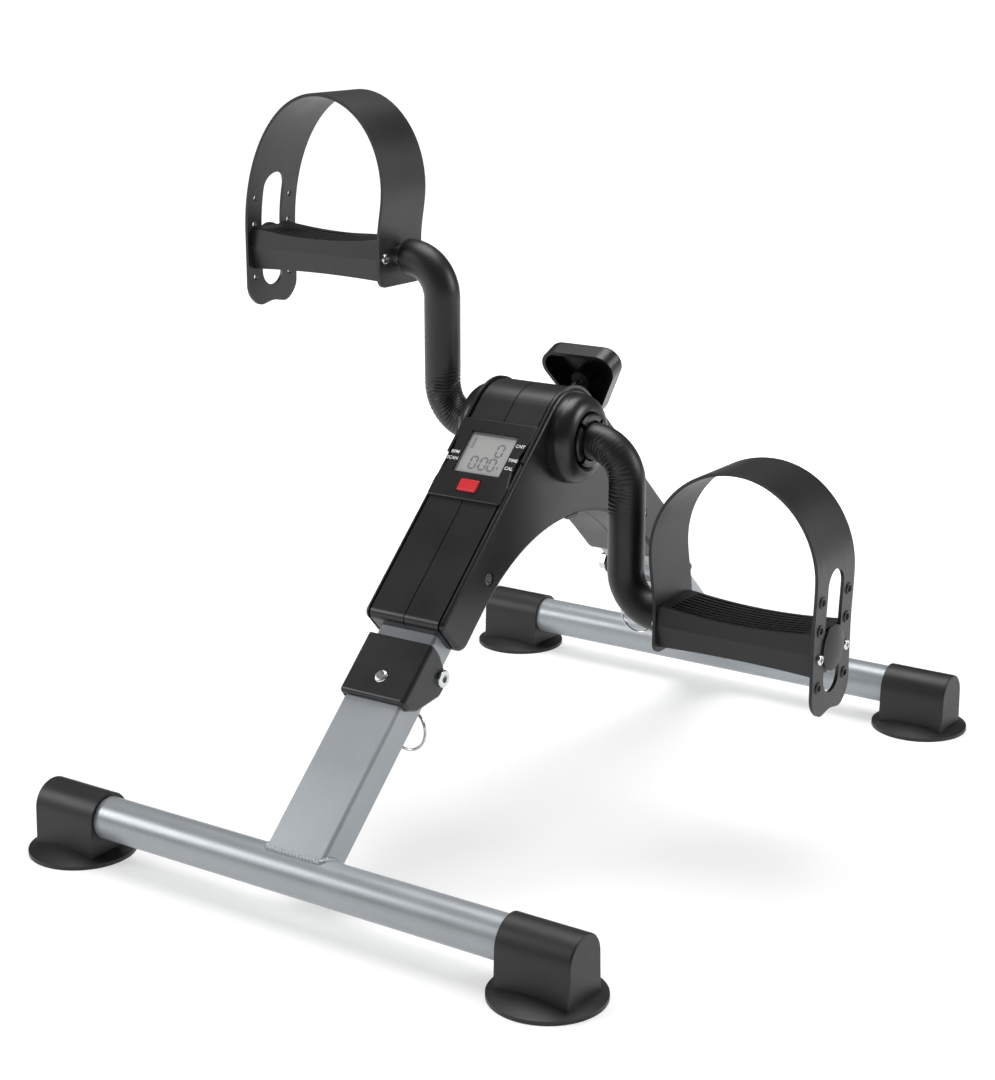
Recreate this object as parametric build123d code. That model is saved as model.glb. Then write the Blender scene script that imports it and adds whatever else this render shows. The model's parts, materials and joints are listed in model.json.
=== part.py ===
from build123d import *
import os
from math import cos, radians, sin, sqrt

os.makedirs("parts", exist_ok=True)

# Folding pedal exerciser, in millimetres.
# Frame: X across the user's feet (+X to the user's right), the user sits on the -Y side,
# +Z up.  The origin is on the floor under the crank.  Front means the user's side.

# ---- driving dimensions -------------------------------------------------------------
# base bars and feet
BAR_Y = 235.4            # distance of each base bar from the middle
BAR_Z = 25.2             # height of the bar's centre
BAR_R = 12.7             # one-inch tube
BAR_WALL = 1.5
BAR_HALF = 184.0         # half length of the bare tube
CAP_OUT = 186.8          # outer end of a foot cap
CAP_LEN = 45.6
CAP_R = 15.05            # round top of the cap
CAP_FOOT_HALF = 15.8     # half width of the cap where it meets its disc
DISC_R = 32.0
DISC_EDGE = 2.4          # thickness of the disc's rim
DISC_CROWN = 6.4         # height of the disc's dome at the cap

# legs: s runs up the leg's front face from LEG_ORIGIN, t stands out of that face
LEG_ANGLE = 42.83        # above the floor
LEG_ORIGIN = (0, -235.8, 39.7)
LEG_HALF = 20.0          # half of the 40 mm width
LEG_DEPTH = 20.0
LEG_WALL = 1.5
LEG_TOP_S = 130.9        # top end of the folding leg
UPPER_S = 133.2          # bottom end of the fixed upper tube
UPPER_TOP_S = 272.0
PIVOT_S = 127.6
PIVOT_T = -18.6
SLEEVE_R = 5.0           # pivot sleeve across the leg
BOLT_R = 3.0
PIN_S = 111.0            # lock pin
PIN_NOSE_R = 4.3
PIN_STEM_R = 2.5
PIN_TAIL_T = -32.0       # the pull ring's hole

# bracket
BRACKET_HALF = 23.0
BRACKET_INNER = 20.3
BRACKET_FACE = 3.6       # t of the front plate's outer face
BRACKET_GAP = 0.6

# crank
CRANK_Z = 230.0
CRANK_R = 100.0          # arm length, centre to centre
ARM_X = 67.5             # plane of the arm's straight part
ARM_R = 8.0
BEND_R = 24.0
FOAM_R = 11.25
SPINDLE_R = 10.0
SPINDLE_HALF = 26.5
RUN_GAP = 0.05           # radial clearance of every running fit
ARM_END_X = 94.0

# housing
HOUSE_HALF = 28.0
SHELL_WALL = 2.4
HOUSE_FACE = 9.9         # t of the housing's front face
HOUSE_UNDER = -20.7      # t of its underside beside the tube
HOUSE_S = 144.5          # bottom end
ARCH_R = 136.2
CROWN_R = 30.6           # rounded top about the crank axis
HUB_OUT = 41.5           # outer face of the hub cover
SHELL_SCREW_S = 191.5
SHELL_SCREW_T = -10.0
SHELL_SCREW_R = 2.0
TOE_R = 4.5              # rounding of the housing's feet, user's side
HEEL_R = 8.0             # rounding of their underside
SEAM_HALF = 0.3
SEAM_DEPTH = 0.8

# pedals, x from the middle, z from the pedal axle
PEDAL_IN = 101.2
PEDAL_OUT = 203.2
PEDAL_TOP = 12.0         # ends of the dished top
PEDAL_DISH = 3.6
PEDAL_LOW = -14.5
PEDAL_ARCH = 1.5         # hollow of the underside
BUSH_R = 8.0
BUSH_LEN = 12.0
RIB_PITCH = 4.4
STRAP_T = 2.0
STRAP_HALF = 24.0
STRAP_HOLE_Y = 17.0      # the two columns of holes
STRAP_HOLE_R = 2.0
STRAP_ROWS = (-20.0, -3.0, 14.0, 31.0)
STRAP_TAIL = -38.0       # lower end of the slotted part
STRAP_INNER_END = -18.0
AXLE_R = 5.0
AXLE_HEAD_R = 7.2

# toe straps are bent by hand, so each has its own arch: the mid line's apex, then the place
# where the arch starts on the inner and on the outer side
RIGHT_ARCH = {"apex": (152.0, 98.5), "inner": (96.8, 44.0), "outer": (205.2, 42.0)}
LEFT_ARCH = {"apex": (145.5, 98.2), "inner": (96.5, 42.0), "outer": (204.2, 10.0)}
LEG_FOOT_Z = 8.0         # below this the strap lies flat on the pedal's ends

# tension screw, radial to the crank axis, leaning back
SCREW_ANGLE = 23.0       # above the horizontal, towards the rear
SCREW_R = 3.0
DRUM_R = 14.0
DRUM_HALF = 9.0
KNOB_BASE = 58.5         # distance of the knob's open rim from the crank axis
KNOB_DEPTH = 13.5
KNOB_R = 28.3
KNOB_CORNER = 10.7

LEG_COS = cos(radians(LEG_ANGLE))
LEG_SIN = sin(radians(LEG_ANGLE))
FACE_NORMAL = (0, -LEG_SIN, LEG_COS)
LEG_PLANE = Plane(origin=LEG_ORIGIN, x_dir=(1, 0, 0), z_dir=FACE_NORMAL)
CRANK_PLANE = Plane(origin=(0, 0, CRANK_Z), x_dir=(0, 1, 0), z_dir=(1, 0, 0))
SCREW_DIR = (0, cos(radians(SCREW_ANGLE)), sin(radians(SCREW_ANGLE)))
SCREW_PLANE = Plane(origin=(0, 0, CRANK_Z), x_dir=(1, 0, 0), z_dir=SCREW_DIR)


# ---- helpers ------------------------------------------------------------------------
def leg_yz(s, t):
    """A point of the leg's side view as (y, z)."""
    y = LEG_ORIGIN[1] + s * LEG_COS - t * LEG_SIN
    z = LEG_ORIGIN[2] + s * LEG_SIN + t * LEG_COS
    return (y, z)


def leg_box(x0, x1, s0, s1, t0, t1):
    """A box whose edges follow the leg."""
    centre = Pos((x0 + x1) / 2, (s0 + s1) / 2, (t0 + t1) / 2)
    return LEG_PLANE * centre * Box(x1 - x0, s1 - s0, t1 - t0)


def across(y, z, radius, x0, x1):
    """A cylinder along X."""
    plane = Plane(origin=(x0, y, z), x_dir=(0, 1, 0), z_dir=(1, 0, 0))
    return extrude(plane * Circle(radius), x1 - x0)


def ring_across(y, z, outer, inner, x0, x1):
    return across(y, z, outer, x0, x1) - across(y, z, inner, x0 - 1, x1 + 1)


def along_leg_normal(s, radius, t0, t1):
    """A cylinder square to the leg's front face."""
    plane = LEG_PLANE.offset(t0)
    return extrude(plane * Pos(0, s) * Circle(radius), t1 - t0)


def cross_recess(x, y, z, reach, depth):
    """Cross-shaped driver recess about a screw's face at x."""
    slot = 0.9
    centre = Pos(x, y, z)
    return centre * Box(2 * depth, 2 * reach, slot) + centre * Box(2 * depth, slot, 2 * reach)


def side_slab(outline, x0, x1):
    """A side-view outline of (y, z) points, filled between two X planes."""
    plane = Plane(origin=(x0, 0, 0), x_dir=(0, 1, 0), z_dir=(1, 0, 0))
    return extrude(plane * make_face(Polyline(*outline, close=True)), x1 - x0)


def rear(shape):
    return mirror(shape, Plane.XZ)


def left(shape):
    return mirror(shape, Plane.YZ)


def half_turn(shape):
    """The left half of the crank: the right one turned half way round the crank axis."""
    return mirror(mirror(shape, Plane.YZ), Plane.XY.offset(CRANK_Z))


def lift(shape, height):
    return Pos(0, 0, height) * shape


def save(shape, node):
    export_step(shape, f"parts/{node}.step")


# ---- base and legs ------------------------------------------------------------------
def base_tube():
    outer = across(-BAR_Y, BAR_Z, BAR_R, -BAR_HALF, BAR_HALF)
    return outer - across(-BAR_Y, BAR_Z, BAR_R - BAR_WALL, -BAR_HALF - 1, BAR_HALF + 1)


def foot_cap():
    """Right front cap: a round-topped block over the tube's end, on a domed disc."""
    inner_x = CAP_OUT - CAP_LEN
    crown = across(-BAR_Y, BAR_Z, CAP_R, inner_x, CAP_OUT)
    skirt = side_slab([(-BAR_Y - CAP_FOOT_HALF, DISC_EDGE), (-BAR_Y + CAP_FOOT_HALF, DISC_EDGE),
                       (-BAR_Y + CAP_R, BAR_Z), (-BAR_Y - CAP_R, BAR_Z)], inner_x, CAP_OUT)
    block = crown + skirt
    outer_rim = block.edges().filter_by_position(Axis.X, CAP_OUT - 0.01, CAP_OUT + 0.01)
    block = fillet(outer_rim.sort_by(Axis.Z)[1:], 1.2)
    crown_r = DISC_R * 0.45
    profile = make_face(Wire([
        Line((0, 0), (DISC_R, 0)),
        Line((DISC_R, 0), (DISC_R, DISC_EDGE)),
        ThreePointArc((DISC_R, DISC_EDGE), (DISC_R * 0.72, DISC_CROWN * 0.76), (crown_r, DISC_CROWN)),
        Line((crown_r, DISC_CROWN), (0, DISC_CROWN)),
        Line((0, DISC_CROWN), (0, 0))]))
    disc = revolve(Plane.XZ * profile, Axis.Z)
    cap = block + Pos(CAP_OUT - CAP_LEN / 2, -BAR_Y, 0) * disc
    socket = across(-BAR_Y, BAR_Z, BAR_R, inner_x - 1, BAR_HALF)
    return cap - socket


def leg_tube():
    """Folding leg: a rectangular tube, saddled on the base bar, notched for the pivot sleeve."""
    bar_s = -9.56
    outer = leg_box(-LEG_HALF, LEG_HALF, bar_s, LEG_TOP_S, -LEG_DEPTH, 0)
    outer = fillet(outer.edges().filter_by(lambda e: abs(e.length - (LEG_TOP_S - bar_s)) < 0.01), 2.2)
    wall = LEG_WALL
    inner = leg_box(-LEG_HALF + wall, LEG_HALF - wall, bar_s - 1, LEG_TOP_S + 1, -LEG_DEPTH + wall, -wall)
    tube = outer - inner
    tube -= across(-BAR_Y, BAR_Z, BAR_R, -LEG_HALF - 1, LEG_HALF + 1)
    tube -= across(*leg_yz(PIVOT_S, PIVOT_T), SLEEVE_R, -LEG_HALF - 1, LEG_HALF + 1)
    tube -= along_leg_normal(PIN_S, PIN_NOSE_R + RUN_GAP, -LEG_WALL - 1, 1)
    tube -= along_leg_normal(PIN_S, 6.0, -LEG_DEPTH - 1, -LEG_DEPTH + LEG_WALL + 1)
    return tube


def pivot_sleeve():
    return ring_across(*leg_yz(PIVOT_S, PIVOT_T), SLEEVE_R, BOLT_R + RUN_GAP, -LEG_HALF, LEG_HALF)


def pin_housing():
    """Threaded barrel welded in the leg's back wall: the lock pin runs through it."""
    flange = along_leg_normal(PIN_S, 8.0, -LEG_DEPTH - 3.0, -LEG_DEPTH)
    barrel = along_leg_normal(PIN_S, 6.0, -LEG_DEPTH - 6.0, -LEG_DEPTH + 3.0)
    return flange + barrel - along_leg_normal(PIN_S, PIN_STEM_R + RUN_GAP, -LEG_DEPTH - 9, -LEG_DEPTH + 10)


def lock_pin():
    """Pull pin: a domed nose through the bracket's plate, a thin stem and a drilled tail."""
    nose = along_leg_normal(PIN_S, PIN_NOSE_R, -8.0, BRACKET_FACE + 0.9)
    nose = fillet(nose.edges().sort_by(Axis(LEG_PLANE.origin, FACE_NORMAL))[-1:], 1.8)
    stem = along_leg_normal(PIN_S, PIN_STEM_R, PIN_TAIL_T - 4.0, -8.0)
    head = along_leg_normal(PIN_S, 4.0, PIN_TAIL_T - 3.0, PIN_TAIL_T + 3.5)
    hole = across(*leg_yz(PIN_S, PIN_TAIL_T), 1.7, -10, 10)
    return nose + stem + head - hole


def pull_ring():
    """Split ring hanging from the pin's tail."""
    y, z = leg_yz(PIN_S, PIN_TAIL_T)
    ring_r = 13.1
    wire_r = 0.9
    plane = Plane(origin=(0, y, z - ring_r), x_dir=(1, 0, 0), z_dir=(0, 1, 0))
    return plane * Torus(ring_r, wire_r)


# ---- fixed frame --------------------------------------------------------------------
def upper_tube():
    length = UPPER_TOP_S - UPPER_S
    outer = leg_box(-LEG_HALF, LEG_HALF, UPPER_S, UPPER_TOP_S, -LEG_DEPTH, 0)
    outer = fillet(outer.edges().filter_by(lambda e: abs(e.length - length) < 0.01), 2.2)
    wall = LEG_WALL
    inner = leg_box(-LEG_HALF + wall, LEG_HALF - wall, UPPER_S - 1, UPPER_TOP_S + 1, -LEG_DEPTH + wall, -wall)
    screw_y, screw_z = leg_yz(SHELL_SCREW_S, SHELL_SCREW_T)
    return outer - inner - across(screw_y, screw_z, SHELL_SCREW_R, -LEG_HALF - 1, LEG_HALF + 1)


def bracket():
    """Folded channel over the joint of the two tubes; its round ears carry the hinge bolt."""
    lip_s = 97.0
    top_s = 136.5
    corners = [(top_s, BRACKET_FACE), (135.7, -12.0), (130.5, -26.5), (119.0, -26.0), (101.5, -13.0),
               (96.2, -4.0), (lip_s, BRACKET_FACE)]
    ear_radii = {2: 5.0, 3: 6.0, 4: 6.0, 5: 3.0}
    outline = make_face(Polyline(*[leg_yz(s, t) for s, t in corners], close=True))
    for i, radius in ear_radii.items():
        place = Vector(*leg_yz(*corners[i]), 0)
        outline = fillet(outline.vertices().sort_by_distance(place)[0], radius)
    plane = Plane(origin=(-BRACKET_HALF, 0, 0), x_dir=(0, 1, 0), z_dir=(1, 0, 0))
    block = extrude(plane * outline, 2 * BRACKET_HALF)

    def on_face(edge):
        return abs(LEG_PLANE.to_local_coords(edge.center()).Z - BRACKET_FACE) < 0.01

    bends = [e for e in block.edges() if on_face(e) and abs(e.length - (top_s - lip_s)) < 0.1]
    block = fillet(bends, 2.8)
    lip = [e for e in block.edges() if e.length > BRACKET_HALF and on_face(e)
           and abs(LEG_PLANE.to_local_coords(e.center()).Y - lip_s) < 0.01]
    block = fillet(lip, 2.6)
    room = leg_box(-BRACKET_INNER, BRACKET_INNER, lip_s - 5, UPPER_S, -40, BRACKET_GAP)
    seat = leg_box(-LEG_HALF, LEG_HALF, UPPER_S, top_s + 5, -40, 0)
    block = block - room - seat
    block -= along_leg_normal(PIN_S, PIN_NOSE_R + RUN_GAP, -2, BRACKET_FACE + 2)
    return block - across(*leg_yz(PIVOT_S, PIVOT_T), BOLT_R, -40, 40)


def hinge_bolt():
    """Shoulder bolt with a low socket head at +X and a nut at -X, as two solids."""
    y, z = leg_yz(PIVOT_S, PIVOT_T)
    head_t = 2.2
    nut_t = 4.6
    head = across(y, z, 5.2, BRACKET_HALF, BRACKET_HALF + head_t)
    head = fillet(head.edges().sort_by(Axis.X)[-1:], 0.8)
    socket_plane = Plane(origin=(BRACKET_HALF + 0.8, y, z), x_dir=(0, 1, 0), z_dir=(1, 0, 0))
    head -= extrude(socket_plane * RegularPolygon(2.6, 6), head_t)
    shank = across(y, z, BOLT_R, -BRACKET_HALF - nut_t - 0.4, BRACKET_HALF)
    nut_plane = Plane(origin=(-BRACKET_HALF - nut_t, y, z), x_dir=(0, 1, 0), z_dir=(1, 0, 0))
    nut = extrude(nut_plane * RegularPolygon(5.7, 6), nut_t) - across(y, z, BOLT_R, -40, 0)
    return [head + shank, nut]


def side_plate():
    """Right gusset: joins the two upper tubes and holds the crank bush."""
    foot_s = 238.0
    front_out = leg_yz(foot_s, -1.6)
    front_in = leg_yz(foot_s, -18.4)
    outline = [front_out, front_in, (-14, 203), (14, 203), (-front_in[0], front_in[1]),
               (-front_out[0], front_out[1]), (12, 245), (-12, 245)]
    plate = side_slab(outline, LEG_HALF, LEG_HALF + 3)
    plate += across(0, CRANK_Z, 17.0, LEG_HALF, LEG_HALF + 3)
    return plate - across(0, CRANK_Z, 12.0, 0, 40)


def crank_bush():
    """Right flanged nylon bush in the side plate."""
    barrel = across(0, CRANK_Z, 12.0, LEG_HALF - 1, LEG_HALF + 3)
    flange = across(0, CRANK_Z, 14.5, LEG_HALF + 3, LEG_HALF + 4.6)
    return barrel + flange - across(0, CRANK_Z, SPINDLE_R + RUN_GAP, 0, 40)


# ---- housing ------------------------------------------------------------------------
def housing_face(shrink):
    """Side view of the housing, moved inwards by shrink: two legs, an arch and a round crown."""
    s0 = HOUSE_S + shrink
    t_face = HOUSE_FACE - shrink
    t_under = HOUSE_UNDER + shrink
    crown_r = CROWN_R - shrink
    arch_r = ARCH_R + shrink
    outer_foot = leg_yz(s0, t_face)
    inner_foot = leg_yz(s0, t_under)
    tangent = (-crown_r * LEG_SIN, CRANK_Z + crown_r * LEG_COS)
    arch_z = leg_yz(0, HOUSE_UNDER)[1] + leg_yz(0, HOUSE_UNDER)[0] * -LEG_SIN / LEG_COS - ARCH_R / LEG_COS
    arch_start = (-arch_r * LEG_SIN, arch_z + arch_r * LEG_COS)

    def opposite(point):
        return (-point[0], point[1])

    lines = [Line(outer_foot, tangent),
             ThreePointArc(tangent, (0, CRANK_Z + crown_r), opposite(tangent)),
             Line(opposite(tangent), opposite(outer_foot)),
             Line(opposite(outer_foot), opposite(inner_foot)),
             Line(opposite(inner_foot), opposite(arch_start)),
             ThreePointArc(opposite(arch_start), (0, arch_z + arch_r), arch_start),
             Line(arch_start, inner_foot),
             Line(inner_foot, outer_foot)]
    face = make_face(Wire(lines))
    for foot, radius in ((outer_foot, TOE_R), (inner_foot, HEEL_R)):
        for place in (foot, opposite(foot)):
            corner = face.vertices().sort_by_distance(Vector(*place, 0))[0]
            face = fillet(corner, radius - shrink)
    return face


def housing_slab(shrink, x0, x1):
    plane = Plane(origin=(x0, 0, 0), x_dir=(0, 1, 0), z_dir=(1, 0, 0))
    return extrude(plane * housing_face(shrink), x1 - x0)


def screw_spots():
    """Side-view places of the shell screws, in the middle of each upper tube."""
    y, z = leg_yz(SHELL_SCREW_S, SHELL_SCREW_T)
    return [(y, z), (-y, z)]


def housing_right():
    """Right moulded shell: open at the middle seam, slotted over the tubes."""
    shell = housing_slab(0, 0, HOUSE_HALF)
    rim = shell.edges().filter_by_position(Axis.X, HOUSE_HALF - 0.01, HOUSE_HALF + 0.01)
    shell = fillet(rim, 2.6)
    shell -= housing_slab(SHELL_WALL, -1, HOUSE_HALF - SHELL_WALL)
    shell -= housing_slab(-1, -1, SEAM_HALF) - housing_slab(SEAM_DEPTH, -2, 1)
    groove = housing_slab(-1, 24.0, 25.4) - housing_slab(1.3, 23.0, 26.0)
    under = side_slab([leg_yz(100, -12), leg_yz(302, -12), (-leg_yz(302, -12)[0], leg_yz(302, -12)[1]),
                       (-leg_yz(100, -12)[0], leg_yz(100, -12)[1]), (0, 60)], 20, 30)
    shell -= groove - under
    for spot_y, spot_z in screw_spots():
        shell += across(spot_y, spot_z, 5.0, LEG_HALF, HOUSE_HALF - SHELL_WALL / 2)
    for tube in (upper_room(), rear(upper_room())):
        shell -= tube
    for spot_y, spot_z in screw_spots():
        shell -= across(spot_y, spot_z, SHELL_SCREW_R, LEG_HALF - 2, HOUSE_HALF + 2)
        shell -= across(spot_y, spot_z, 4.2, HOUSE_HALF - 2.2, HOUSE_HALF + 2)
    shell -= across(0, CRANK_Z, SPINDLE_R + 0.5, 0, 60)
    shell -= extrude(SCREW_PLANE * Circle(SCREW_R + 0.8), 60)
    shell -= leg_box(-22.5, 22.5, 233.5, 281.5, 5.0, 12.0)
    shell += shoulder_bead()
    return shell


def upper_room():
    """Room for an upper tube inside the shells."""
    return leg_box(-LEG_HALF, LEG_HALF, HOUSE_S - 20, UPPER_TOP_S + 0.4, -LEG_DEPTH, 0)


def shoulder_bead():
    """Raised bead round the crown's edge, from the console's top over to the rear."""
    bead = housing_slab(-1.2, 25.6, 27.4) - housing_slab(0.6, 25.0, 28.0)
    cut_s = 287.0
    front_half = leg_box(20, 30, cut_s, 360, -60, 40)
    rear_half = rear(leg_box(20, 30, 262, 360, -60, 40))
    keep_front = bead & front_half
    keep_rear = bead & rear_half
    return keep_front + keep_rear


def hub_cover():
    """Right hub cover: a domed ring with a deep cup that the crank's collar turns in."""
    dome_r = 27.6
    cup_r = 17.3
    floor_x = 31.0
    profile = make_face(Wire([
        Line((8.8, HOUSE_HALF), (dome_r, HOUSE_HALF)),
        Line((dome_r, HOUSE_HALF), (dome_r - 0.4, 33.0)),
        ThreePointArc((dome_r - 0.4, 33.0), (24.4, 38.6), (18.9, HUB_OUT)),
        Line((18.9, HUB_OUT), (cup_r, HUB_OUT - 0.8)),
        Line((cup_r, HUB_OUT - 0.8), (cup_r, floor_x)),
        Line((cup_r, floor_x), (8.8, floor_x)),
        Line((8.8, floor_x), (8.8, HOUSE_HALF))]))
    turned = revolve(Plane.XZ * profile, Axis.Z)
    axis_plane = Plane(origin=(0, 0, CRANK_Z), x_dir=(0, 1, 0), z_dir=(1, 0, 0))
    return axis_plane * turned


def shell_screws():
    screws = []
    for spot_y, spot_z in screw_spots():
        head = across(spot_y, spot_z, 3.6, HOUSE_HALF - 2.2, HOUSE_HALF - 0.4)
        head -= cross_recess(HOUSE_HALF - 0.4, spot_y, spot_z, 2.2, 1.2)
        shank = across(spot_y, spot_z, SHELL_SCREW_R, LEG_HALF - 1.5, HOUSE_HALF - 2.2)
        screws += [head + shank, left(head + shank)]
    return screws


# ---- console ------------------------------------------------------------------------
def console_bezel():
    """Waisted cover plate with the display window and the button's hole."""
    low_s = 229.0
    high_s = 286.0
    right_edge = [(25.6, low_s), (26.0, 241.0), (23.4, 252.0), (23.4, 263.0), (25.6, 274.0), (25.6, high_s)]
    waist = Polyline(*right_edge, *[(-x, s) for x, s in reversed(right_edge)], close=True)
    plate = extrude(LEG_PLANE.offset(HOUSE_FACE) * make_face(waist), 1.9)
    upright = plate.edges().filter_by(lambda e: abs(e.length - 1.9) < 0.01)
    plate = fillet(upright, 1.5)
    face_t = HOUSE_FACE + 1.9
    top_rim = [e for e in plate.edges() if abs(LEG_PLANE.to_local_coords(e.center()).Z - face_t) < 0.01]
    plate = fillet(top_rim, 0.7)
    plate -= leg_box(-16.6, 16.6, 247.4, 277.0, 0, 20)
    return plate - leg_box(-7.0, 7.0, 233.8, 242.8, 0, 20)


def lcd_window():
    """Clear lens lying in the bezel's recess."""
    return leg_box(-16.5, 16.5, 247.5, 276.9, 9.9, 10.7)


def lcd_panel():
    return leg_box(-15.8, 15.8, 248.9, 275.5, 7.2, 9.8)


def circuit_board():
    board = leg_box(-21.5, 21.5, 235.5, 280.5, 5.4, 7.0)
    switch = leg_box(-3.0, 3.0, 235.6, 241.0, 7.0, 8.2)
    return board + switch


def battery():
    """Coin cell under the board."""
    return along_leg_normal(258.0, 5.8, 1.0, 5.2)


def mode_button():
    cap = leg_box(-6.6, 6.6, 234.2, 242.4, 9.9, 13.2)
    top_rim = [e for e in cap.edges() if LEG_PLANE.to_local_coords(e.center()).Z > 10.5]
    cap = fillet(top_rim, 0.8)
    return cap + leg_box(-2.0, 2.0, 236.6, 240.2, 9.6, 9.9)


def reed_switch():
    """Glass reed switch in a clip beside the turning magnet."""
    return leg_box(10.5, 17.5, 276.5, 279.5, -6.0, -2.6)


def sensor_wire():
    """Two-core lead from the board down to the reed switch."""
    route = [leg_at(14.0, 274.0, 5.4), leg_at(14.0, 274.0, 2.0), leg_at(14.0, 278.0, 1.2),
             leg_at(14.0, 278.0, -2.6)]
    path = FilletPolyline(*route, radius=1.6)
    section = Plane(origin=route[0], z_dir=path % 0) * Circle(0.7)
    return sweep(section, path=path)


def leg_at(x, s, t):
    y, z = leg_yz(s, t)
    return (x, y, z)


# ---- crank --------------------------------------------------------------------------
def crank_spindle():
    tube = ring_across(0, CRANK_Z, SPINDLE_R, ARM_R, -SPINDLE_HALF, SPINDLE_HALF)
    for x in (-15.0, 15.0):
        tube -= Pos(x, 0, CRANK_Z) * Cylinder(2.0, 40)
    return tube


def resistance_drum():
    return ring_across(0, CRANK_Z, DRUM_R, SPINDLE_R, -DRUM_HALF, DRUM_HALF)


def crank_magnet():
    """Small block magnet on the end of the drum, read by the reed switch."""
    plane = CRANK_PLANE.offset(DRUM_HALF) * Rot(0, 0, 90 + 47.17)
    return plane * Pos(11.8, 0, 1.5) * Box(3.2, 4.0, 3.0)


def cross_pins():
    pins = []
    for x in (-15.0, 15.0):
        pins.append(Pos(x, 0, CRANK_Z) * Cylinder(2.0, 2 * SPINDLE_R + 3))
    return pins


def arm_solid(start_x, end_x, radius):
    """The arm's five stretches, each exact: cylinders and quarter bends."""
    low_z = CRANK_Z - CRANK_R
    upper = across(0, CRANK_Z, radius, start_x, ARM_X - BEND_R)
    lower = across(0, low_z, radius, ARM_X + BEND_R, end_x)
    straight_len = CRANK_R - 2 * BEND_R
    straight = Pos(ARM_X, 0, CRANK_Z - CRANK_R / 2) * Cylinder(radius, straight_len)
    upper_centre = (ARM_X - BEND_R, 0, CRANK_Z - BEND_R)
    lower_centre = (ARM_X + BEND_R, 0, low_z + BEND_R)
    top_disc = Plane(origin=(ARM_X - BEND_R, 0, CRANK_Z), x_dir=(0, 1, 0), z_dir=(1, 0, 0))
    low_disc = Plane(origin=(ARM_X + BEND_R, 0, low_z), x_dir=(0, 1, 0), z_dir=(1, 0, 0))
    top_bend = revolve(top_disc * Circle(radius), Axis(upper_centre, (0, 1, 0)), 90)
    low_bend = revolve(low_disc * Circle(radius), Axis(lower_centre, (0, 1, 0)), 90)
    return upper + top_bend + straight + low_bend + lower


def crank_arm():
    solid = arm_solid(2.0, ARM_END_X, ARM_R)
    solid -= across(0, CRANK_Z - CRANK_R, 4.0, 84.0, 120)
    return solid - Pos(15.0, 0, CRANK_Z) * Cylinder(2.0, 40)


def crank_sleeve():
    """Foam sleeve over the whole arm."""
    return arm_solid(37.4, ARM_END_X - 0.4, FOAM_R) - arm_solid(30.0, ARM_END_X + 2, ARM_R)


def crank_collar():
    """Split collar in the hub's cup: grips the arm and takes the sleeve's end."""
    body = across(0, CRANK_Z, 16.4, 32.0, 43.0)
    body = fillet(body.edges().sort_by(Axis.X)[-1:], 1.6)
    body -= across(0, CRANK_Z, ARM_R, 20, 60)
    body -= across(0, CRANK_Z, 12.4, 37.4, 60)
    for turn in (45, 135):
        slot = Pos(42.0, 0, CRANK_Z) * Rot(turn, 0, 0) * Box(7.0, 60, 3.0)
        body -= slot
    return body


def pedal_axle():
    """Right shoulder bolt: threads into the arm, its flat head holds the pedal on."""
    z = CRANK_Z - CRANK_R
    head_x = PEDAL_OUT - 4.95
    head_t = 3.5
    thread = across(0, z, 4.0, 84.0, ARM_END_X)
    shoulder = across(0, z, AXLE_HEAD_R, ARM_END_X, PEDAL_IN - RUN_GAP)
    shaft = across(0, z, AXLE_R, PEDAL_IN - RUN_GAP, head_x)
    head = across(0, z, AXLE_HEAD_R, head_x, head_x + head_t)
    slot = Pos(head_x + head_t, 0, z) * Box(2.0, 16, 1.6)
    return thread + shoulder + shaft + head - slot


# ---- pedals (built about their own axle at z = 0, then lifted) ---------------------------
def pedal_body():
    """Right pedal: a slim six-sided block, its ribbed top dished and its underside arched."""
    half = [(17.5, PEDAL_LOW), (20.5, -0.5), (19.0, PEDAL_TOP)]
    outline = [(-y, z) for y, z in half] + [(y, z) for y, z in reversed(half)]
    block = side_slab(outline, PEDAL_IN, PEDAL_OUT)
    block = fillet([e for e in block.edges() if e.length > 100 and e.center().Z > 5], 1.4)
    mid_x = (PEDAL_IN + PEDAL_OUT) / 2
    half_len = (PEDAL_OUT - PEDAL_IN) / 2
    dish_r = (half_len ** 2 + PEDAL_DISH ** 2) / (2 * PEDAL_DISH)
    arch_r = (half_len ** 2 + PEDAL_ARCH ** 2) / (2 * PEDAL_ARCH)
    top_plane = Plane(origin=(mid_x, -40, PEDAL_TOP - PEDAL_DISH + dish_r), x_dir=(1, 0, 0), z_dir=(0, 1, 0))
    low_plane = Plane(origin=(mid_x, -40, PEDAL_LOW + PEDAL_ARCH - arch_r), x_dir=(1, 0, 0), z_dir=(0, 1, 0))
    block -= extrude(top_plane * Circle(dish_r), 80)
    block -= extrude(low_plane * Circle(arch_r), 80)
    groove_cut = extrude(top_plane * Circle(dish_r + 1.6), 80)
    for i in range(8):
        groove = Pos(mid_x, (i - 3.5) * RIB_PITCH, 12) * Box(2 * half_len - 14, 2.1, 20)
        block -= groove & groove_cut
    for y in (-STRAP_HOLE_Y, STRAP_HOLE_Y):
        block -= across(y, 0, STRAP_HOLE_R, PEDAL_IN - 1, PEDAL_IN + 9)
        block -= across(y, STRAP_ROWS[1], STRAP_HOLE_R, PEDAL_OUT - 9, PEDAL_OUT + 1)
    block -= across(0, 0, BUSH_R, PEDAL_IN - 1, PEDAL_IN + BUSH_LEN)
    block -= across(0, 0, BUSH_R, PEDAL_OUT - BUSH_LEN - 5, PEDAL_OUT + 1)
    return block - across(0, 0, AXLE_R + 0.6, PEDAL_IN, PEDAL_OUT)


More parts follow.
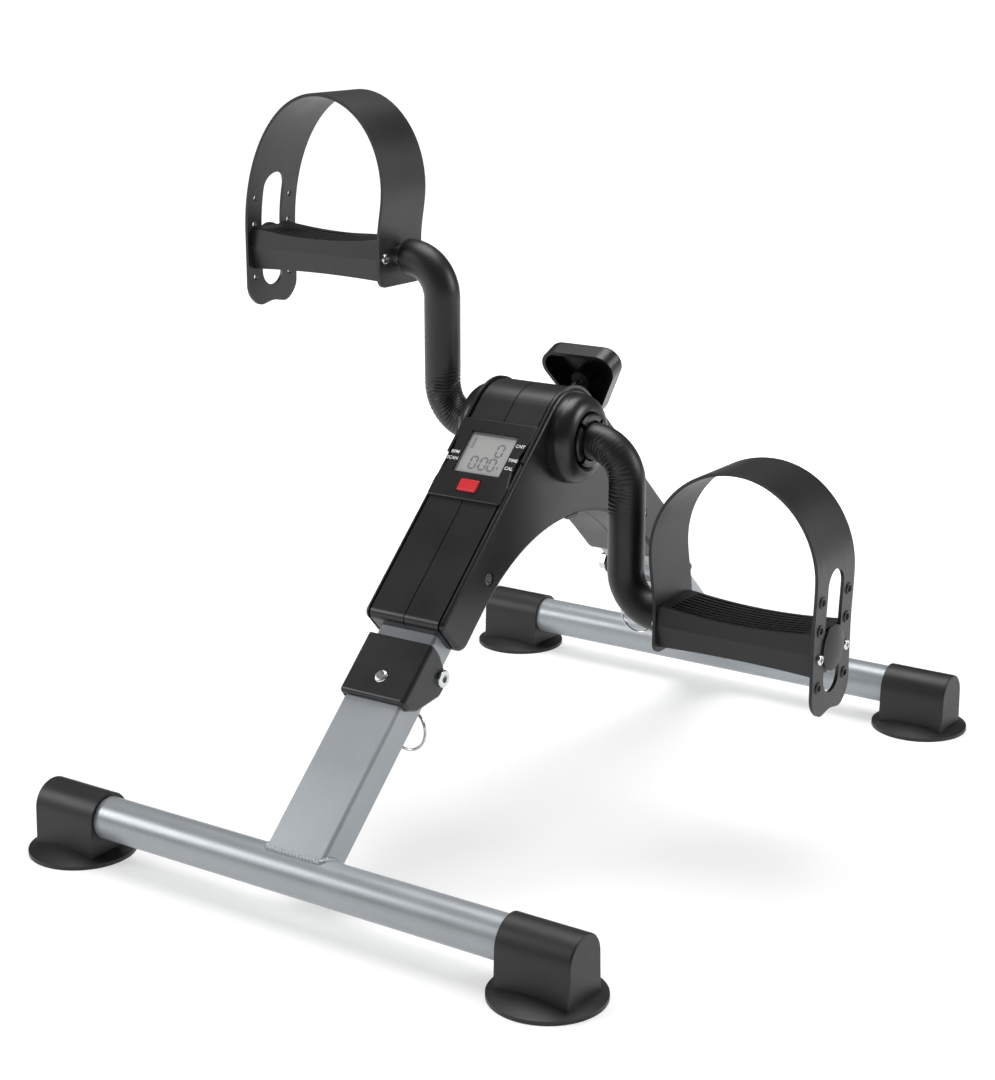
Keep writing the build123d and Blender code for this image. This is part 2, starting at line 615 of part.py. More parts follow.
def pedal_bushes():
    inner = ring_across(0, 0, BUSH_R, AXLE_R + RUN_GAP, PEDAL_IN, PEDAL_IN + BUSH_LEN)
    outer = ring_across(0, 0, BUSH_R, AXLE_R + RUN_GAP, PEDAL_OUT - BUSH_LEN - 5, PEDAL_OUT - 5)
    return [inner, outer]


def strap_side(arch, grow):
    """One face of the strap, grow outside its mid line: a leg, two quarter ellipses and a leg."""
    apex_x, top = arch["apex"]
    in_x, in_z = arch["inner"]
    out_x, out_z = arch["outer"]
    foot_in = PEDAL_IN - STRAP_T / 2 - grow
    foot_out = PEDAL_OUT + STRAP_T / 2 + grow
    down = (0, -1)
    inner_arc = EllipticalCenterArc((apex_x, in_z), apex_x - in_x + grow, top - in_z + grow,
                                    start_angle=90, arc_size=90)
    outer_arc = EllipticalCenterArc((apex_x, out_z), out_x - apex_x + grow, top - out_z + grow,
                                    start_angle=0, arc_size=90)
    inner_bend = Spline((in_x - grow, in_z), (foot_in, LEG_FOOT_Z), tangents=[down, down])
    inner_leg = Line((foot_in, LEG_FOOT_Z), (foot_in, STRAP_INNER_END))
    lines = [inner_leg, inner_bend, inner_arc, outer_arc]
    if out_z > LEG_FOOT_Z + 10:
        lines.append(Spline((out_x + grow, out_z), (foot_out, LEG_FOOT_Z), tangents=[down, down]))
        lines.append(Line((foot_out, LEG_FOOT_Z), (foot_out, STRAP_TAIL)))
    else:
        lines.append(Line((foot_out, out_z), (foot_out, STRAP_TAIL)))
    return lines, (foot_in, foot_out)


def strap_band(arch):
    """Side view of the strap, one wall thick, pulled out to its width."""
    outer_lines, (far_in, far_out) = strap_side(arch, STRAP_T / 2)
    inner_lines, (near_in, near_out) = strap_side(arch, -STRAP_T / 2)
    ends = [Line((far_in, STRAP_INNER_END), (near_in, STRAP_INNER_END)),
            Line((near_out, STRAP_TAIL), (far_out, STRAP_TAIL))]
    plane = Plane(origin=(0, STRAP_HALF, 0), x_dir=(1, 0, 0), z_dir=(0, -1, 0))
    return extrude(plane * make_face(outer_lines + inner_lines + ends), 2 * STRAP_HALF)


def rounded_end(half_width, z_low, radius, x0, x1):
    """Tall plate with two round bottom corners: trims an end of the strap."""
    plane = Plane(origin=(x0, 0, 0), x_dir=(0, 1, 0), z_dir=(1, 0, 0))
    tall = 140
    plate = plane * Pos(0, z_low + tall / 2) * Rectangle(2 * half_width, tall)
    low = [v for v in plate.vertices() if v.Z < z_low + 1]
    return extrude(fillet(low, radius), x1 - x0)


def pedal_strap(arch):
    """Toe strap: screwed to the pedal's inner end, slotted and drilled at its outer end."""
    middle = arch["apex"][0]
    trim = rounded_end(STRAP_HALF - 2.0, STRAP_INNER_END, 6.0, 80, middle)
    trim += rounded_end(STRAP_HALF, STRAP_TAIL, 13.0, middle, 230)
    band = strap_band(arch) & trim
    plane = Plane(origin=(190, 0, 10), x_dir=(0, 0, 1), z_dir=(1, 0, 0))
    band -= extrude(plane * SlotOverall(74, 20), 30)
    for y in (-STRAP_HOLE_Y, STRAP_HOLE_Y):
        for z in STRAP_ROWS:
            band -= across(y, z, STRAP_HOLE_R, 185, 230)
        band -= across(y, 0, STRAP_HOLE_R, 80, 110)
    return band - across(0, 0, 9.0, 80, 110)


def strap_screws():
    """Four screws with crossed recesses: two at each end of the pedal."""
    screws = []
    head_r = 3.2
    head_t = 1.8
    grip = 8.0
    face_out = PEDAL_OUT + STRAP_T
    face_in = PEDAL_IN - STRAP_T
    for y in (-STRAP_HOLE_Y, STRAP_HOLE_Y):
        head = across(y, STRAP_ROWS[1], head_r, face_out, face_out + head_t)
        head = fillet(head.edges().sort_by(Axis.X)[-1:], 1.0)
        head -= cross_recess(face_out + head_t, y, STRAP_ROWS[1], 1.9, 1.1)
        screws.append(head + across(y, STRAP_ROWS[1], STRAP_HOLE_R, PEDAL_OUT - grip, face_out))
        head = across(y, 0, head_r, face_in - head_t, face_in)
        head = fillet(head.edges().sort_by(Axis.X)[:1], 1.0)
        head -= cross_recess(face_in - head_t, y, 0, 1.9, 1.1)
        screws.append(head + across(y, 0, STRAP_HOLE_R, face_in, PEDAL_IN + grip))
    return screws


def end_cap():
    """Outer cap: a shallow dome on a neck that stands in the strap's slot."""
    face_x = PEDAL_OUT + STRAP_T
    cap_r = 13.5
    rim_t = 1.2
    dome_h = 2.6
    dome_r = (cap_r ** 2 + dome_h ** 2) / (2 * dome_h)
    tip_x = face_x + rim_t + dome_h
    half_sag = dome_r - sqrt(dome_r ** 2 - (cap_r / 2) ** 2)
    neck = ring_across(0, 0, 9.4, BUSH_R, PEDAL_OUT, face_x)
    profile = make_face(Wire([
        Line((0, face_x), (cap_r, face_x)),
        Line((cap_r, face_x), (cap_r, face_x + rim_t)),
        ThreePointArc((cap_r, face_x + rim_t), (cap_r / 2, tip_x - half_sag), (0, tip_x)),
        Line((0, tip_x), (0, face_x))]))
    turned = revolve(Plane.XZ * profile, Axis.Z)
    return neck + Plane(origin=(0, 0, 0), x_dir=(0, 1, 0), z_dir=(1, 0, 0)) * turned


# ---- tension knob -------------------------------------------------------------------
def tension_screw():
    """Long screw with a thrust collar just inside the shells."""
    stem = extrude(SCREW_PLANE.offset(17.0) * Circle(SCREW_R), KNOB_BASE + 6 - 17.0)
    collar = extrude(SCREW_PLANE.offset(27.3) * Circle(4.4), 1.3)
    return stem + collar


def rounded_triangle(circum, corner):
    """Triangle with round corners, one corner pointing down the slope."""
    reach = circum - corner
    tips = [(reach * cos(radians(a)), reach * sin(radians(a))) for a in (90, 210, 330)]
    return offset(make_face(Polyline(*tips, close=True)), corner)


def tension_knob():
    """Hollow three-cornered hand knob with a hub on the screw."""
    rim_plane = SCREW_PLANE.offset(KNOB_BASE)
    shell = extrude(rim_plane * rounded_triangle(KNOB_R, KNOB_CORNER), KNOB_DEPTH)
    top_rim = shell.edges().group_by(Axis(SCREW_PLANE.origin, SCREW_DIR))[-1]
    shell = fillet(top_rim, 2.6)
    wall = 2.4
    inside = rounded_triangle(KNOB_R - wall, KNOB_CORNER - wall)
    hollow = extrude(rim_plane.offset(-1) * inside, KNOB_DEPTH - 2.0)
    hub = extrude(rim_plane * Circle(6.2), KNOB_DEPTH - 2)
    shell = shell - hollow + hub
    return shell - extrude(SCREW_PLANE.offset(40) * Circle(SCREW_R), KNOB_BASE + 6 - 40)


def tension_nut():
    block = SCREW_PLANE.offset(19.0) * Pos(0, 0, 2.5) * Box(14, 12.4, 5.0)
    return block - extrude(SCREW_PLANE.offset(10) * Circle(SCREW_R + RUN_GAP), 30)


def friction_band():
    """Spring-steel band with a felt lining, hooped round the drum, its two tails on the nut."""
    tail = 5.2
    thick = 1.6
    inner_r = DRUM_R + RUN_GAP
    half = 7.0
    hoop_plane = Plane(origin=(-half, 0, CRANK_Z), x_dir=SCREW_DIR, z_dir=(1, 0, 0))
    hoop = extrude(hoop_plane * (Circle(inner_r + thick) - Circle(inner_r)), 2 * half)
    mouth = extrude(hoop_plane * Pos(15, 0) * Rectangle(30, 2 * tail), 2 * half)
    hoop -= mouth
    start = sqrt(inner_r ** 2 - (tail + thick) ** 2)
    tails = []
    for side in (-1, 1):
        strip = Pos((start + 19.0) / 2, side * (tail + thick / 2)) * Rectangle(19.0 - start, thick)
        tails.append(extrude(hoop_plane * strip, 2 * half))
    band = hoop + tails[0] + tails[1]
    return band - across(0, CRANK_Z, inner_r, -half - 1, half + 1)


# ---- assembly -----------------------------------------------------------------------
def build_legs():
    for name, side in (("front", lambda shape: shape), ("rear", rear)):
        save(side(base_tube()), f"{name}_base_tube")
        cap = foot_cap()
        save(Compound(children=[side(cap), side(left(cap))]), f"{name}_foot_caps")
        save(side(leg_tube()), f"{name}_leg_tube")
        save(side(pivot_sleeve()), f"{name}_pivot_sleeve")
        save(side(pin_housing()), f"{name}_pin_housing")
        save(side(lock_pin()), f"{name}_lock_pin")
        save(side(pull_ring()), f"{name}_pull_ring")
        save(side(upper_tube()), f"{name}_upper_tube")
        save(side(bracket()), f"{name}_bracket")
    bolts = hinge_bolt()
    save(Compound(children=bolts + [rear(part) for part in bolts]), "hinge_bolts")


def build_housing():
    right_shell = housing_right()
    save(right_shell, "housing_right")
    save(left(right_shell), "housing_left")
    save(hub_cover(), "right_hub_cover")
    save(left(hub_cover()), "left_hub_cover")
    save(Compound(children=shell_screws()), "shell_screws")
    save(Compound(children=[side_plate(), left(side_plate())]), "side_plates")
    save(Compound(children=[crank_bush(), left(crank_bush())]), "crank_bushes")


def build_console():
    for node, make in (("console_bezel", console_bezel), ("lcd_window", lcd_window), ("lcd_panel", lcd_panel),
                       ("circuit_board", circuit_board), ("battery", battery), ("mode_button", mode_button),
                       ("reed_switch", reed_switch), ("sensor_wire", sensor_wire)):
        save(make(), node)


def build_tension():
    for node, make in (("tension_screw", tension_screw), ("tension_knob", tension_knob),
                       ("tension_nut", tension_nut), ("friction_band", friction_band)):
        save(make(), node)


def build_crank():
    save(crank_spindle(), "crank_spindle")
    save(resistance_drum(), "resistance_drum")
    save(crank_magnet(), "crank_magnet")
    save(Compound(children=cross_pins()), "crank_cross_pins")
    for node, make in (("crank_arm", crank_arm), ("crank_sleeve", crank_sleeve),
                       ("crank_collar", crank_collar), ("pedal_axle", pedal_axle)):
        right_part = make()
        save(right_part, f"right_{node}")
        save(half_turn(right_part), f"left_{node}")


def build_pedals():
    low = CRANK_Z - CRANK_R
    high = CRANK_Z + CRANK_R
    save(lift(pedal_strap(RIGHT_ARCH), low), "right_pedal_strap")
    save(lift(left(pedal_strap(LEFT_ARCH)), high), "left_pedal_strap")
    for node, make in (("pedal_body", pedal_body), ("end_cap", end_cap)):
        piece = make()
        save(lift(piece, low), f"right_{node}")
        save(lift(left(piece), high), f"left_{node}")
    for node, make in (("pedal_bushes", pedal_bushes), ("strap_screws", strap_screws)):
        pieces = make()
        save(Compound(children=[lift(p, low) for p in pieces]), f"right_{node}")
        save(Compound(children=[lift(left(p), high) for p in pieces]), f"left_{node}")


build_legs()
build_housing()
build_console()
build_tension()
build_crank()
build_pedals()
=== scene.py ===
"""Looks of a folding pedal exerciser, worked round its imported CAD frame. Everything is in metres."""
import json
import math

import bpy
import numpy as np
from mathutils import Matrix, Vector


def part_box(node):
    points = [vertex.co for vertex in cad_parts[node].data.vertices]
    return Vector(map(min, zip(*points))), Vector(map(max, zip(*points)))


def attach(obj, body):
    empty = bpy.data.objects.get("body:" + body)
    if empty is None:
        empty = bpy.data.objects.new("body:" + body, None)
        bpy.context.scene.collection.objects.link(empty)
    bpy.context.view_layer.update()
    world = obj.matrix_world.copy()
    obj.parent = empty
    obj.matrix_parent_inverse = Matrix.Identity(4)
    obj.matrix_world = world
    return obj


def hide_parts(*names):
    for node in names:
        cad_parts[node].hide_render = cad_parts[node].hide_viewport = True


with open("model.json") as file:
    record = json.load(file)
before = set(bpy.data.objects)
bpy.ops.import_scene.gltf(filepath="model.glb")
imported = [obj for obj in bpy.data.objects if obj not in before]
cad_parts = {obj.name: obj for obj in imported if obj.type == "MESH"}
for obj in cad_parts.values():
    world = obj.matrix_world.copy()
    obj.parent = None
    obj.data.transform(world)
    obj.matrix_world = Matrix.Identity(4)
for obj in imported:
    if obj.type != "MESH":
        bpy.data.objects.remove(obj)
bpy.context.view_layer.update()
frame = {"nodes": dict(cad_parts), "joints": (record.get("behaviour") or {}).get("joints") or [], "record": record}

MM = 0.001
JOINTS = {joint["name"]: joint for joint in frame["joints"]}
CRANK = np.array(JOINTS["crank_spin"]["pos_m"])
RIGHT_AXLE = np.array(JOINTS["right_pedal_spin"]["pos_m"])
LEFT_AXLE = np.array(JOINTS["left_pedal_spin"]["pos_m"])

# the front slope: FACE_OUT stands out of the leg's front face, FACE_UP runs up it
FACE_OUT = -np.array(JOINTS["front_pin_pull"]["axis"])
FACE_UP = np.array([0.0, FACE_OUT[2], -FACE_OUT[1]])
LCD_CENTRE = np.array((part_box("lcd_panel")[0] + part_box("lcd_panel")[1]) / 2)
LCD_HALF_DEPTH = 1.3 * MM
BEZEL_TOP = 3.3 * MM        # the bezel's face above the display's middle
TUBE_FACE = -8.5 * MM       # the leg tube's face below the display's middle


# ---- node trees -----------------------------------------------------------------------------
def linear(code, alpha=1.0):
    """An sRGB hex colour as linear red, green, blue and alpha."""
    parts = np.array([int(code[i:i + 2], 16) for i in (1, 3, 5)]) / 255
    low = parts / 12.92
    high = ((parts + 0.055) / 1.055) ** 2.4
    return (*np.where(parts <= 0.04045, low, high).tolist(), alpha)


def add(tree, kind, inputs=None, **settings):
    """Adds a shader node: settings are its own fields, and inputs gives a socket a value or a link."""
    node = tree.nodes.new("ShaderNode" + kind)
    for name, value in settings.items():
        setattr(node, name, value)
    for name, value in (inputs or {}).items():
        if isinstance(value, bpy.types.NodeSocket):
            tree.links.new(value, node.inputs[name])
        else:
            node.inputs[name].default_value = value
    return node


def blank(name, colour, roughness, **values):
    """A new material with its shader's own sockets set. Returns the material, its tree and its shader."""
    material = bpy.data.materials.new(name)
    material.use_nodes = True
    tree = material.node_tree
    shader = tree.nodes["Principled BSDF"]
    shader.inputs["Base Color"].default_value = linear(colour)
    shader.inputs["Roughness"].default_value = roughness
    for socket, value in values.items():
        shader.inputs[socket.replace("_", " ")].default_value = value
    return material, tree, shader


def object_place(tree, stretch=(1, 1, 1)):
    """Object coordinates, squeezed by stretch on each axis."""
    place = add(tree, "TexCoord").outputs["Object"]
    return add(tree, "Mapping", {"Vector": place, "Scale": stretch}).outputs["Vector"]


def textured(name, colour, roughness, grain_mm, depth_mm, patch_mm=35.0, tone=0.07, stretch=(1, 1, 1),
             **values):
    """A finish whose tone and roughness drift over patches of patch_mm, and whose grain is grain_mm wide
    and depth_mm deep. roughness is its lowest and highest value."""
    material, tree, shader = blank(name, colour, roughness[0], **values)
    place = object_place(tree)
    patches = add(tree, "TexNoise", {"Vector": place, "Scale": 1 / (patch_mm * MM), "Detail": 4.0})
    value = add(tree, "MapRange", {"Value": patches.outputs["Fac"], "From Min": 0.3, "From Max": 0.7,
                                   "To Min": 1 - tone, "To Max": 1 + tone})
    tinted = add(tree, "HueSaturation", {"Value": value.outputs["Result"], "Color": linear(colour)})
    tree.links.new(tinted.outputs["Color"], shader.inputs["Base Color"])
    grain = add(tree, "TexNoise", {"Vector": object_place(tree, stretch), "Scale": 1 / (grain_mm * MM),
                                   "Detail": 3.0, "Roughness": 0.6})
    both = add(tree, "Math", {0: patches.outputs["Fac"], 1: grain.outputs["Fac"]}, operation="ADD")
    gloss = add(tree, "MapRange", {"Value": both.outputs["Value"], "From Min": 0.7, "From Max": 1.3,
                                   "To Min": roughness[0], "To Max": roughness[1]})
    tree.links.new(gloss.outputs["Result"], shader.inputs["Roughness"])
    bump = add(tree, "Bump", {"Height": grain.outputs["Fac"], "Distance": depth_mm * MM, "Strength": 1.0})
    tree.links.new(bump.outputs["Normal"], shader.inputs["Normal"])
    return material


# ---- materials ------------------------------------------------------------------------------
# the grain of a moulding tool is about 0.1 mm, too fine to show, so it is drawn 0.7 mm wide


def moulded_abs():
    # ABS from a spark-eroded tool: near-black, satin, with soft broad highlights
    return textured("abs_moulded_satin_black", "#151516", (0.30, 0.40), 0.7, 0.010)


def console_abs():
    # ABS from a finer tool than the housing: a little darker and smoother
    return textured("abs_moulded_fine_black", "#151516", (0.28, 0.36), 0.5, 0.006)


def pedal_polypropylene():
    # glass-filled polypropylene: greyer than ABS, duller, with slight flow patches
    return textured("polypropylene_moulded_charcoal", "#1d1d1e", (0.42, 0.54), 0.8, 0.014, tone=0.10)


def cap_pvc():
    # soft PVC, moulded: matte-satin, its highlights wide and grey
    return textured("pvc_moulded_soft_black", "#1a1a1a", (0.42, 0.52), 0.9, 0.012)


def strap_pvc():
    # calendered PVC sheet: satin, with fine lines that run along the strap
    return textured("pvc_calendered_satin_black", "#1b1b1b", (0.36, 0.48), 0.8, 0.010, stretch=(0.08, 1, 0.08))


def foam_skin():
    # nitrile foam with a dipped skin: soft sheen, small pores
    return textured("nitrile_foam_skinned_black", "#121212", (0.36, 0.48), 0.6, 0.030, tone=0.10)


def silver_powder_coat():
    # polyester powder coat with fine metal flake: light grey, satin, slight orange peel
    material = textured("powder_coat_silver_satin", "#a3a8ac", (0.30, 0.40), 1.6, 0.016, tone=0.03,
                        Metallic=0.35)
    tree = material.node_tree
    shader = tree.nodes["Principled BSDF"]
    tint = shader.inputs["Base Color"].links[0].from_node
    flakes = add(tree, "TexVoronoi", {"Vector": object_place(tree), "Scale": 1 / (0.5 * MM)})
    sparkle = add(tree, "MapRange", {"Value": flakes.outputs["Color"], "To Min": 0.94, "To Max": 1.06})
    drift = tint.inputs["Value"].links[0].from_socket
    joined = add(tree, "Math", {0: drift, 1: sparkle.outputs["Result"]}, operation="MULTIPLY")
    tree.links.new(joined.outputs["Value"], tint.inputs["Value"])
    return material


def black_powder_coat():
    # polyester powder coat over folded steel: black, satin, orange peel
    return textured("powder_coat_black_satin", "#19191a", (0.28, 0.38), 1.4, 0.014)


def zinc_plate():
    # bright zinc on turned or stamped steel: pale, mirror-like with soft tool marks
    return textured("zinc_plated_steel_bright", "#d2d4d6", (0.16, 0.30), 0.6, 0.004, patch_mm=6.0, Metallic=1.0)


def spring_steel():
    # bright drawn wire: fine lines, darker than zinc
    return textured("spring_steel_drawn", "#c2c3c5", (0.14, 0.24), 0.8, 0.003, patch_mm=8.0, Metallic=1.0)


def nylon():
    # natural nylon, moulded: milky, waxy
    return textured("nylon_moulded_natural", "#dcd8cc", (0.40, 0.50), 1.0, 0.008, Subsurface_Weight=0.1)


def lcd_glass():
    # liquid-crystal cell over its reflector: even grey, faintly grained
    return textured("lcd_reflective_grey", "#8e908d", (0.30, 0.36), 0.4, 0.001, patch_mm=20.0, tone=0.03)


def lcd_segments():
    # switched-on segments: almost black
    return textured("lcd_segment_dark", "#101112", (0.30, 0.36), 0.4, 0.001, patch_mm=6.0, tone=0.15)


def printed_white():
    # pad-printed ink: white, slightly uneven in cover
    return textured("ink_pad_printed_white", "#e8e8e6", (0.45, 0.55), 0.5, 0.002, patch_mm=3.0, tone=0.05)


def clear_acrylic():
    # acrylic lens, polished: clear, hard gloss, so thin that light passes it nearly unchanged
    return blank("acrylic_clear_polished", "#ffffff", 0.03, Alpha=0.10, IOR=1.49)[0]


def red_button():
    # silicone-painted ABS key: signal red, satin
    return textured("abs_moulded_red", "#cf2630", (0.30, 0.38), 0.6, 0.006, patch_mm=8.0, tone=0.05)


def solder_mask():
    # epoxy solder mask over copper: deep green, glossy
    return textured("solder_mask_green", "#1c5a34", (0.20, 0.28), 1.0, 0.010, patch_mm=6.0, tone=0.15)


def wire_pvc():
    # PVC insulation: black, satin
    return textured("pvc_insulation_black", "#1d1d1d", (0.40, 0.48), 0.5, 0.004)


MATERIALS = {
    "black_plastic": moulded_abs(), "black_rubber": cap_pvc(), "foam_sleeve": foam_skin(),
    "grey_paint": silver_powder_coat(), "black_paint": black_powder_coat(), "zinc_steel": zinc_plate(),
    "white_nylon": nylon(), "lcd_glass": lcd_glass(), "clear_lens": clear_acrylic(),
    "circuit_green": solder_mask(), "cell_steel": spring_steel(), "wire_cover": wire_pvc(),
    "red_button": red_button(),
}
CONSOLE_ABS = console_abs()
PEDAL_PLASTIC = pedal_polypropylene()
STRAP_PVC = strap_pvc()
LCD_SEGMENTS = lcd_segments()
WHITE_INK = printed_white()
OWN_FINISH = {
    "console_bezel": CONSOLE_ABS, "right_pedal_body": PEDAL_PLASTIC, "left_pedal_body": PEDAL_PLASTIC,
    "right_end_cap": PEDAL_PLASTIC, "left_end_cap": PEDAL_PLASTIC,
    "front_pull_ring": MATERIALS["cell_steel"], "rear_pull_ring": MATERIALS["cell_steel"],
}


def finish_cad_nodes():
    """Every CAD node takes the finish of its slot in the record, or one of its own."""
    for row in frame["record"]["subparts"]:
        node = frame["nodes"][row["node"]]
        material = OWN_FINISH.get(row["node"], MATERIALS[row["material_slot"]])
        node.data.materials.clear()
        node.data.materials.append(material)


# ---- meshes ---------------------------------------------------------------------------------
def grid_faces(rows, columns, loop_rows=False, loop_columns=False):
    """Four corner numbers of every cell in a grid of points, row by row."""
    r = np.arange(rows if loop_rows else rows - 1)[:, None]
    c = np.arange(columns if loop_columns else columns - 1)[None, :]
    below = (r + 1) % rows
    right = (c + 1) % columns
    corners = [r * columns + c, r * columns + right, below * columns + right, below * columns + c]
    return np.stack([np.broadcast_to(k, (r.size, c.size)) for k in corners], -1).reshape(-1, 4)


def make_piece(name, points, faces, body, material, smooth=True):
    """A mesh piece at the origin that rides on a body, its faces wound as the caller gives them."""
    mesh = bpy.data.meshes.new(name)
    mesh.from_pydata(points.reshape(-1, 3).tolist(), [], faces.tolist())
    mesh.validate()
    mesh.polygons.foreach_set("use_smooth", np.full(len(mesh.polygons), smooth))
    piece = bpy.data.objects.new(name, mesh)
    bpy.context.scene.collection.objects.link(piece)
    mesh.materials.append(material)
    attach(piece, body)
    return piece


def stack(parts):
    """Several (points, faces) as one."""
    starts = np.cumsum([0] + [len(points) for points, _ in parts[:-1]])
    points = np.concatenate([points for points, _ in parts])
    faces = np.concatenate([faces + start for (_, faces), start in zip(parts, starts)])
    return points, faces


def left_pedal_side(points):
    """Points of the right pedal mirrored across and raised to the left pedal's axle."""
    return points * [-1, 1, 1] + [0, 0, LEFT_AXLE[2] - RIGHT_AXLE[2]]


def half_turn(points):
    """Points turned half way round about the Y line through the crank axis: the left side from the right."""
    return np.stack([-points[..., 0], points[..., 1], 2 * CRANK[2] - points[..., 2]], -1)


# ---- foam sleeves -----------------------------------------------------------------------------
ARM_RADIUS = 8.0 * MM
BEND_RADIUS = 24.0 * MM
STRAIGHT_X = 67.5 * MM      # the arm's straight part
SLEEVE_LOW, SLEEVE_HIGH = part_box("right_crank_sleeve")
SLEEVE_RADIUS = SLEEVE_HIGH.y
SLEEVE_LIP = 1.2 * MM       # rounding of the sleeve's two ends


def arm_line(along):
    """Centre and heading of the right arm, by length from the sleeve's inner end, with the four lengths where
    its bends start and finish and the whole length. The heading is a straight, a quarter turn down, a
    straight, a quarter turn back and a straight; the centre is its running sum."""
    turn = BEND_RADIUS * math.pi / 2
    first = STRAIGHT_X - BEND_RADIUS - SLEEVE_LOW.x
    drop = CRANK[2] - RIGHT_AXLE[2] - 2 * BEND_RADIUS
    bends = np.cumsum([first, turn, drop, turn])
    length = bends[-1] + SLEEVE_HIGH.x - STRAIGHT_X - BEND_RADIUS
    fine = np.linspace(0, length, 6000)
    heading = np.interp(fine, bends, [0, -math.pi / 2, -math.pi / 2, 0])
    middle = (heading[:-1] + heading[1:]) / 2
    x = SLEEVE_LOW.x + np.concatenate([[0], np.cumsum(np.cos(middle))]) * fine[1]
    z = CRANK[2] + np.concatenate([[0], np.cumsum(np.sin(middle))]) * fine[1]
    centre = np.stack([np.interp(along, fine, x), np.zeros_like(along), np.interp(along, fine, z)], -1)
    return centre, np.interp(along, fine, heading), bends, length


def crease_depth(along, around, creases):
    """Depth of the wrinkles: narrow valleys across the sleeve, each group fading away from its place and
    from the side that it faces; slow waves bend and break the valleys so that no two are alike."""
    depth = np.zeros(np.broadcast(along, around).shape)
    for place, reach, facing, spread, pitch, deep in creases:
        near = np.exp(-((along - place) / reach) ** 4)
        fade = near * np.clip(np.cos((around - facing) / 2), 0, 1) ** spread
        sway = 1.5 * np.sin(2 * around + place * 900) + 1.0 * np.sin(5 * around + along / (2.3 * pitch))
        wave = 0.5 + 0.5 * np.sin(2 * math.pi * along / pitch + sway)
        patch = 0.55 + 0.45 * np.sin(along / (1.3 * pitch) + 4 * around + 1.7)
        depth += deep * fade * patch * wave ** 2
    return depth


def foam_sleeve(name, body, is_left, creases):
    """Closed foam tube: a circle carried along the arm's line, out over the skin and back along the bore,
    with a quarter-round lip at each end and wrinkles pressed in at its bends."""
    _, _, bends, length = arm_line(np.zeros(1))
    quarter = np.linspace(0, math.pi / 2, 6)[:-1]
    lip_along = SLEEVE_LIP * (1 - np.cos(quarter))
    lip_radius = SLEEVE_RADIUS - SLEEVE_LIP * (1 - np.sin(quarter))
    skin = np.linspace(SLEEVE_LIP, length - SLEEVE_LIP, 560)
    bore = np.linspace(length, 0, 90)
    along = np.concatenate([lip_along, skin, length - lip_along[::-1], bore])
    radius = np.concatenate([lip_radius, np.full_like(skin, SLEEVE_RADIUS), lip_radius[::-1],
                             np.full_like(bore, ARM_RADIUS)])
    around = np.linspace(0, 2 * math.pi, 112, endpoint=False)
    centre, heading, _, _ = arm_line(along)
    depth = crease_depth(along[:, None], around[None, :], creases(bends))
    reach = radius[:, None] - depth * (radius == SLEEVE_RADIUS)[:, None]
    side = np.stack([-np.sin(heading), np.zeros_like(along), np.cos(heading)], -1)
    points = centre[:, None] + reach[..., None] * (np.cos(around)[None, :, None] * side[:, None]
                                                  + np.sin(around)[None, :, None] * np.array([0, 1, 0]))
    points = half_turn(points) if is_left else points
    faces = grid_faces(len(along), len(around), True, True)[:, ::-1]
    return make_piece(name, points, faces, body, MATERIALS["foam_sleeve"])


def right_creases(bends):
    """Place, reach, facing side, narrowness, pitch and depth of each group of wrinkles on the right sleeve."""
    hub_bend = (bends[0] + bends[1]) / 2
    pedal_bend = (bends[2] + bends[3]) / 2
    inner = math.pi
    front = 1.5 * math.pi
    return [(hub_bend + 2 * MM, 26 * MM, inner + 0.5, 4, 2.2 * MM, 0.9 * MM),
            (hub_bend + 9 * MM, 26 * MM, front - 0.9, 5, 2.7 * MM, 0.7 * MM),
            (pedal_bend, 17 * MM, 0.0, 3, 2.6 * MM, 1.2 * MM),
            (pedal_bend, 19 * MM, -0.9, 3, 3.1 * MM, 0.9 * MM)]


def left_creases(bends):
    """The same for the left sleeve, whose hub end is rucked all over."""
    hub_bend = (bends[0] + bends[1]) / 2
    pedal_bend = (bends[2] + bends[3]) / 2
    return [(hub_bend, 24 * MM, -1.2, 1, 2.8 * MM, 1.3 * MM),
            (hub_bend + 3 * MM, 20 * MM, math.pi + 0.6, 2, 2.4 * MM, 1.1 * MM),
            (pedal_bend + 4 * MM, 23 * MM, -0.6, 3, 2.6 * MM, 1.0 * MM)]


def build_sleeves():
    right = foam_sleeve("right_foam_sleeve", "crank", False, right_creases)
    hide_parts("right_crank_sleeve")
    left = foam_sleeve("left_foam_sleeve", "crank", True, left_creases)
    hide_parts("left_crank_sleeve")


# ---- toe straps -----------------------------------------------------------------------------
STRAP_THICK = 2.0 * MM
STRAP_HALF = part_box("right_pedal_strap")[1].y
STRAP_CELL = 1.0 * MM
INNER_NARROWING = 2.0 * MM  # the inner end is this much slimmer on each side
TAIL_CORNER = 13.0 * MM
INNER_CORNER = 6.0 * MM
HOLE_COLUMN = 17.0 * MM
HOLE_RADIUS = 2.0 * MM
HOLE_ROWS = (-20.0 * MM, -3.0 * MM, 14.0 * MM, 31.0 * MM)
SCREW_ROW = 1               # the row that holds the screws
HOLE_MARGIN = 1.9 * MM      # the grid is drawn in this far round a hole, and SLOT_MARGIN round the slot
SLOT_MARGIN = 3.0 * MM
SLOT_HALF = 10.0 * MM
SLOT_ENDS = (-17.0 * MM, 37.0 * MM)     # centres of the slot's round ends
STRAP_TAIL = -38.0 * MM     # the strap's two ends, from the axle
TAIL_WAVE = 0.8 * MM        # height of the ripple in the tail's edge
TAIL_WAVE_RATE = 260        # radians for a metre across, one wave in 24 mm
TAIL_WAVE_REACH = 16.0 * MM
EYELET_OUTER = 3.6 * MM
EYELET_INNER = 1.9 * MM
EYELET_HEIGHT = 0.9 * MM
